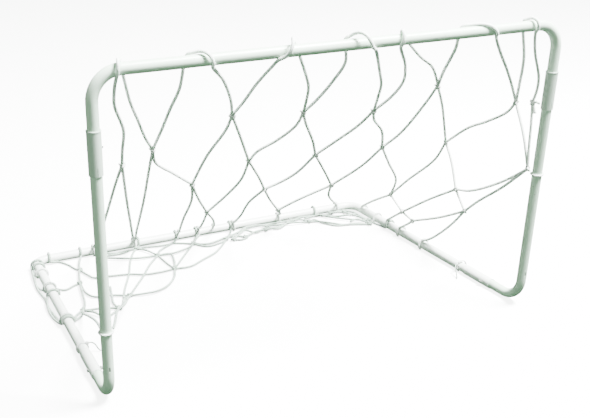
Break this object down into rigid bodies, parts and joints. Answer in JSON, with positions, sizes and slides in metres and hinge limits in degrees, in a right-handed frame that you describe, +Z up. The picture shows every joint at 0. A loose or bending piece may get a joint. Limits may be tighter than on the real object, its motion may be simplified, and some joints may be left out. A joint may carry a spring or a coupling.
{
  "type": "soccer goal frame",
  "caption": "Small steel-tube soccer goal: arched crossbar and posts, sleeves, ground frame and a loose knotted net tied on.",
  "frame": {"origin": "on the ground, below the middle of the goal's outline", "axes": "+X along the crossbar, +Y from the mouth to the rear bar, +Z up"},
  "size_m": [1.1535, 0.8578, 0.7549],
  "materials": {
    "tube_paint": "gloss white powder coat",
    "sleeve_paint": "satin white powder coat",
    "button_steel": "bright pressed steel",
    "spring_steel": "blued spring strip",
    "zinc_steel": "zinc plated",
    "tie_cord": "flat braided cord",
    "net_cord": "flat braided cord, knotted"
  },
  "bodies": {
    "goal": {"crossbar_arch": "tube_paint", "rear_ground_frame": "tube_paint", "lower_post_left": "tube_paint", "sleeve_left": "sleeve_paint", "button_spring_left": "spring_steel", "rail_bolt_left": "zinc_steel", "rail_nut_left": "zinc_steel", "post_tie_left": "tie_cord", "rail_tie_left": "tie_cord", "tie_tail_left": "tie_cord", "lower_post_right": "tube_paint", "sleeve_right": "sleeve_paint", "button_spring_right": "spring_steel", "rail_bolt_right": "zinc_steel", "rail_nut_right": "zinc_steel", "post_tie_right": "tie_cord", "rail_tie_right": "tie_cord", "tie_tail_right": "tie_cord", "net_back": "net_cord", "net_side_right": "net_cord", "net_ground_slack": "net_cord", "net_head_loops": "net_cord", "net_lacing_loops": "net_cord"},
    "left_button": {"snap_button_left": "button_steel"},
    "right_button": {"snap_button_right": "button_steel"}
  },
  "joints": [
    {"name": "left_button_press", "type": "slide", "parent": "goal", "child": "left_button", "axis": [-1, 0, 0], "range_m": [0, 0.005], "stiffness_N_per_m": 1200, "springref_m": -0.003, "deforming": ["button_spring_left"]},
    {"name": "right_button_press", "type": "slide", "parent": "goal", "child": "right_button", "axis": [-1, 0, 0], "range_m": [0, 0.005], "stiffness_N_per_m": 1200, "springref_m": -0.003, "deforming": ["button_spring_right"]}
  ]
}
